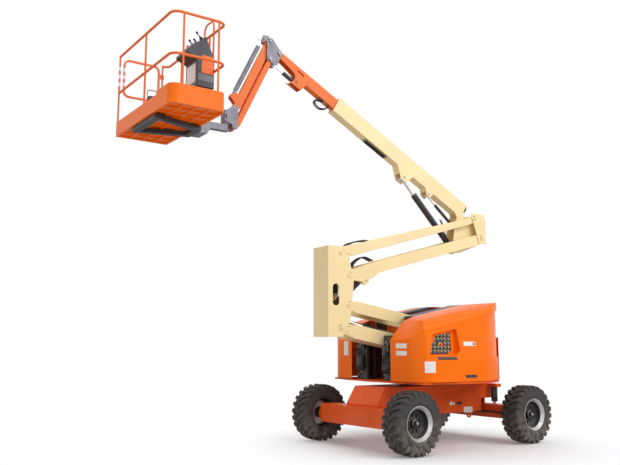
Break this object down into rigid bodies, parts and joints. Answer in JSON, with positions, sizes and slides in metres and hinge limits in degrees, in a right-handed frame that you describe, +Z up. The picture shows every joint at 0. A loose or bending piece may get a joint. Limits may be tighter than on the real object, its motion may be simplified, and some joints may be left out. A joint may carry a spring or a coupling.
{
  "type": "articulating boom lift with telescopic upper boom and jib",
  "caption": "Four-wheeled boom lift: turntable with hoods, folding tower arms, telescopic upper boom, jib and a railed basket, parked with its boom raised.",
  "frame": {"origin": "on the ground, under the middle of the machine's bounding box at rest", "axes": "+X along the chassis, the way the boom points, +Y to the machine's left, +Z up"},
  "size_m": [6.0941, 2.4274, 5.7809],
  "materials": {
    "tyre": "foam filled rubber",
    "rim": "satin silver paint",
    "chassis_orange": "gloss paint",
    "hood_orange": "gloss moulding",
    "cream": "gloss paint",
    "boom_orange": "gloss paint",
    "dark_steel": "satin dark paint",
    "black_steel": "satin black paint",
    "lilac_grey": "satin paint",
    "rod_chrome": "polished",
    "iron": "painted casting",
    "amber": "clear amber dome",
    "panel": "moulded panel"
  },
  "bodies": {
    "chassis": {"chassis_frame": "chassis_orange", "tie_downs": "chassis_orange", "drive_axle": "chassis_orange", "steer_axle": "chassis_orange", "lockout_cylinders": "black_steel", "slew_ring": "black_steel"},
    "steer_left": {"steer_knuckle_left": "black_steel"},
    "steer_right": {"steer_knuckle_right": "black_steel"},
    "tie_rod": {"tie_rod": "black_steel"},
    "wheel_drive_left": {"rim_drive_left": "rim", "tyre_drive_left": "tyre"},
    "wheel_drive_right": {"rim_drive_right": "rim", "tyre_drive_right": "tyre"},
    "wheel_steer_left": {"rim_steer_left": "rim", "tyre_steer_left": "tyre"},
    "wheel_steer_right": {"rim_steer_right": "rim", "tyre_steer_right": "tyre"},
    "turntable": {"turntable_frame": "chassis_orange", "counterweight": "iron", "engine": "black_steel", "front_panel": "dark_steel", "ground_controls": "panel", "top_grille_left": "black_steel", "top_grille_right": "black_steel", "beacon": "amber"},
    "hood_left": {"hood_left": "hood_orange"},
    "hood_right": {"hood_right": "hood_orange"},
    "lower_arm": {"lower_arm": "cream"},
    "lower_link": {"lower_link": "cream"},
    "upright": {"upright": "cream"},
    "mid_upper_arm": {"mid_upper_arm": "cream"},
    "mid_lower_arm": {"mid_lower_arm": "cream"},
    "timing_link": {"timing_link": "dark_steel"},
    "knuckle": {"boom_knuckle": "cream"},
    "tower_barrel": {"tower_lift_barrel": "black_steel"},
    "tower_rod": {"tower_lift_rod": "rod_chrome"},
    "base_boom": {"base_boom": "cream"},
    "fly_boom": {"fly_boom": "boom_orange", "slave_barrel": "black_steel"},
    "lift_barrel": {"boom_lift_barrel": "black_steel"},
    "lift_rod": {"boom_lift_rod": "rod_chrome"},
    "level_barrel": {"level_barrel": "black_steel"},
    "level_rod": {"level_rod": "rod_chrome"},
    "slave_rod": {"slave_rod": "rod_chrome"},
    "level_bracket": {"level_bracket": "lilac_grey"},
    "jib_arm": {"jib_arm": "boom_orange", "jib_barrel": "lilac_grey"},
    "jib_rod": {"jib_rod": "rod_chrome"},
    "jib_link": {"jib_link": "boom_orange"},
    "jib_foot": {"jib_foot": "lilac_grey"},
    "platform": {"platform_support": "lilac_grey", "platform_frame": "dark_steel", "platform_floor": "hood_orange", "platform_rails": "boom_orange", "platform_console": "panel"},
    "entry_gate": {"entry_gate": "boom_orange"}
  },
  "joints": [
    {"name": "turret_swing", "type": "hinge", "parent": "chassis", "child": "turntable", "pos_m": [-1.462, 0.058, 0.87], "axis": [0, 0, 1], "range_deg": [-172.1, 182.9]},
    {"name": "steer_left", "type": "hinge", "parent": "chassis", "child": "steer_left", "pos_m": [-2.627, 0.818, 0.42], "axis": [0, 0, 1], "range_deg": [-30, 30]},
    {"name": "steer_right", "type": "hinge", "parent": "chassis", "child": "steer_right", "pos_m": [-2.627, -0.702, 0.42], "axis": [0, 0, 1], "range_deg": [-30, 30]},
    {"name": "tie_rod_pin", "type": "hinge", "parent": "steer_left", "child": "tie_rod", "pos_m": [-2.477, 0.818, 0.42], "axis": [0, 0, 1], "range_deg": [-30, 30]},
    {"name": "wheel_drive_left", "type": "hinge", "parent": "chassis", "child": "wheel_drive_left", "pos_m": [-0.297, 1.074, 0.42], "axis": [0, 1, 0], "continuous": true},
    {"name": "wheel_drive_right", "type": "hinge", "parent": "chassis", "child": "wheel_drive_right", "pos_m": [-0.297, -0.958, 0.42], "axis": [0, 1, 0], "continuous": true},
    {"name": "wheel_steer_left", "type": "hinge", "parent": "steer_left", "child": "wheel_steer_left", "pos_m": [-2.627, 1.074, 0.42], "axis": [0, 1, 0], "continuous": true},
    {"name": "wheel_steer_right", "type": "hinge", "parent": "steer_right", "child": "wheel_steer_right", "pos_m": [-2.627, -0.958, 0.42], "axis": [0, 1, 0], "continuous": true},
    {"name": "hood_left", "type": "hinge", "parent": "turntable", "child": "hood_left", "pos_m": [-1.36363, 0.54088, 1.92326], "axis": [0.9736, -0.092, -0.2088], "range_deg": [0, 60]},
    {"name": "hood_right", "type": "hinge", "parent": "turntable", "child": "hood_right", "pos_m": [-1.45585, -0.43477, 1.92326], "axis": [-0.9736, 0.092, 0.2088], "range_deg": [0, 60]},
    {"name": "tower_lift", "type": "hinge", "parent": "turntable", "child": "lower_arm", "pos_m": [-2.01952, 0.1107, 1.27], "axis": [-0.0941, -0.9956, 0], "range_deg": [-16.7, 57.5]},
    {"name": "lower_link_pin", "type": "hinge", "parent": "turntable", "child": "lower_link", "pos_m": [-2.14794, 0.12284, 1.598], "axis": [-0.0941, -0.9956, 0], "range_deg": [-16.7, 57.5]},
    {"name": "upright_pin", "type": "hinge", "parent": "lower_arm", "child": "upright", "pos_m": [0.0851, -0.08824, 1.66181], "axis": [-0.0941, -0.9956, 0], "range_deg": [-57.5, 16.7]},
    {"name": "mid_upper_pin", "type": "hinge", "parent": "upright", "child": "mid_upper_arm", "pos_m": [0.0851, -0.08824, 2.73281], "axis": [0.0941, 0.9956, 0], "range_deg": [-14.53, 50.02]},
    {"name": "mid_lower_pin", "type": "hinge", "parent": "upright", "child": "mid_lower_arm", "pos_m": [-0.04333, -0.0761, 2.41381], "axis": [0.0941, 0.9956, 0], "range_deg": [-14.53, 50.02]},
    {"name": "knuckle_pin", "type": "hinge", "parent": "mid_upper_arm", "child": "knuckle", "pos_m": [-2.47925, 0.15416, 3.44713], "axis": [0.0941, 0.9956, 0], "range_deg": [-50.02, 14.53]},
    {"name": "timing_pin", "type": "hinge", "parent": "mid_lower_arm", "child": "timing_link", "pos_m": [-0.33901, -0.04815, 2.35181], "axis": [-0.0941, -0.9956, 0], "range_deg": [-12.53, 43.12]},
    {"name": "tower_barrel_pin", "type": "hinge", "parent": "turntable", "child": "tower_barrel", "pos_m": [-2.01952, 0.1107, 1.27], "axis": [-0.0941, -0.9956, 0], "range_deg": [-16.95, 58.36]},
    {"name": "tower_rod_slide", "type": "slide", "parent": "tower_barrel", "child": "tower_rod", "axis": [0.9634, -0.0911, 0.2522], "range_m": [-0.053, 0.1811]},
    {"name": "boom_lift", "type": "hinge", "parent": "knuckle", "child": "base_boom", "pos_m": [-2.25625, 0.13308, 3.42114], "axis": [-0.0941, -0.9956, 0], "range_deg": [-28.1, 43.4]},
    {"name": "lift_barrel_pin", "type": "hinge", "parent": "knuckle", "child": "lift_barrel", "pos_m": [-2.14673, 0.12273, 2.95113], "axis": [-0.0941, -0.9956, 0], "range_deg": [-22.48, 34.72]},
    {"name": "lift_rod_slide", "type": "slide", "parent": "lift_barrel", "child": "lift_rod", "axis": [0.6826, -0.0645, 0.728], "range_m": [-0.1771, 0.2732]},
    {"name": "level_barrel_pin", "type": "hinge", "parent": "knuckle", "child": "level_barrel", "pos_m": [-2.20149, 0.1279, 3.30113], "axis": [-0.0941, -0.9956, 0], "range_deg": [-26.41, 40.8]},
    {"name": "level_rod_slide", "type": "slide", "parent": "level_barrel", "child": "level_rod", "axis": [0.7552, -0.0714, 0.6515], "range_m": [-0.0569, 0.0876]},
    {"name": "telescope", "type": "slide", "parent": "base_boom", "child": "fly_boom", "axis": [0.8639, -0.0817, 0.497], "range_m": [-0.1, 1.75]},
    {"name": "level_bracket_pin", "type": "hinge", "parent": "fly_boom", "child": "level_bracket", "pos_m": [1.04281, -0.17877, 5.56095], "axis": [-0.0941, -0.9956, 0], "range_deg": [-43.4, 28.1]},
    {"name": "slave_rod_slide", "type": "slide", "parent": "fly_boom", "child": "slave_rod", "axis": [0.8639, -0.0817, 0.497], "range_m": [-0.1141, 0.0741]},
    {"name": "jib_lift", "type": "hinge", "parent": "level_bracket", "child": "jib_arm", "pos_m": [1.18816, -0.19251, 5.71095], "axis": [-0.0941, -0.9956, 0], "range_deg": [0, 144]},
    {"name": "jib_link_pin", "type": "hinge", "parent": "level_bracket", "child": "jib_link", "pos_m": [1.18816, -0.19251, 5.45395], "axis": [-0.0941, -0.9956, 0], "range_deg": [0, 144]},
    {"name": "jib_foot_pin", "type": "hinge", "parent": "jib_arm", "child": "jib_foot", "pos_m": [1.70867, -0.24172, 4.61973], "axis": [-0.0941, -0.9956, 0], "range_deg": [-144, 0]},
    {"name": "jib_rod_slide", "type": "slide", "parent": "jib_arm", "child": "jib_rod", "axis": [-0.4302, 0.0407, 0.9018], "range_m": [-0.0709, 0]},
    {"name": "platform_rotate", "type": "hinge", "parent": "jib_foot", "child": "platform", "pos_m": [1.83013, -0.2532, 4.4], "axis": [0, 0, 1], "range_deg": [-90, 90]},
    {"name": "entry_gate", "type": "hinge", "parent": "platform", "child": "entry_gate", "pos_m": [2.35584, -1.16593, 5.1], "axis": [0, 0, 1], "range_deg": [0, 90]}
  ],
  "couplings": [
    {"joint": "steer_right", "follows": "steer_left", "ratio": 1},
    {"joint": "tie_rod_pin", "follows": "steer_left", "ratio": -1},
    {"joint": "lower_link_pin", "follows": "tower_lift", "ratio": 1},
    {"joint": "upright_pin", "follows": "tower_lift", "ratio": -1},
    {"joint": "mid_upper_pin", "follows": "tower_lift", "ratio": 0.87},
    {"joint": "mid_lower_pin", "follows": "tower_lift", "ratio": 0.87},
    {"joint": "knuckle_pin", "follows": "tower_lift", "ratio": -0.87},
    {"joint": "timing_pin", "follows": "tower_lift", "ratio": 0.75},
    {"joint": "tower_barrel_pin", "follows": "tower_lift", "ratio": 1.015},
    {"joint": "tower_rod_slide", "follows": "tower_lift", "m_per_rad": 0.18},
    {"joint": "lift_barrel_pin", "follows": "boom_lift", "ratio": 0.8},
    {"joint": "lift_rod_slide", "follows": "boom_lift", "m_per_rad": 0.36},
    {"joint": "level_barrel_pin", "follows": "boom_lift", "ratio": 0.94},
    {"joint": "level_rod_slide", "follows": "boom_lift", "m_per_rad": 0.115},
    {"joint": "level_bracket_pin", "follows": "boom_lift", "ratio": -1},
    {"joint": "slave_rod_slide", "follows": "boom_lift", "m_per_rad": -0.15},
    {"joint": "jib_link_pin", "follows": "jib_lift", "ratio": 1},
    {"joint": "jib_foot_pin", "follows": "jib_lift", "ratio": -1},
    {"joint": "jib_rod_slide", "follows": "jib_lift", "m_per_rad": -0.028}
  ]
}
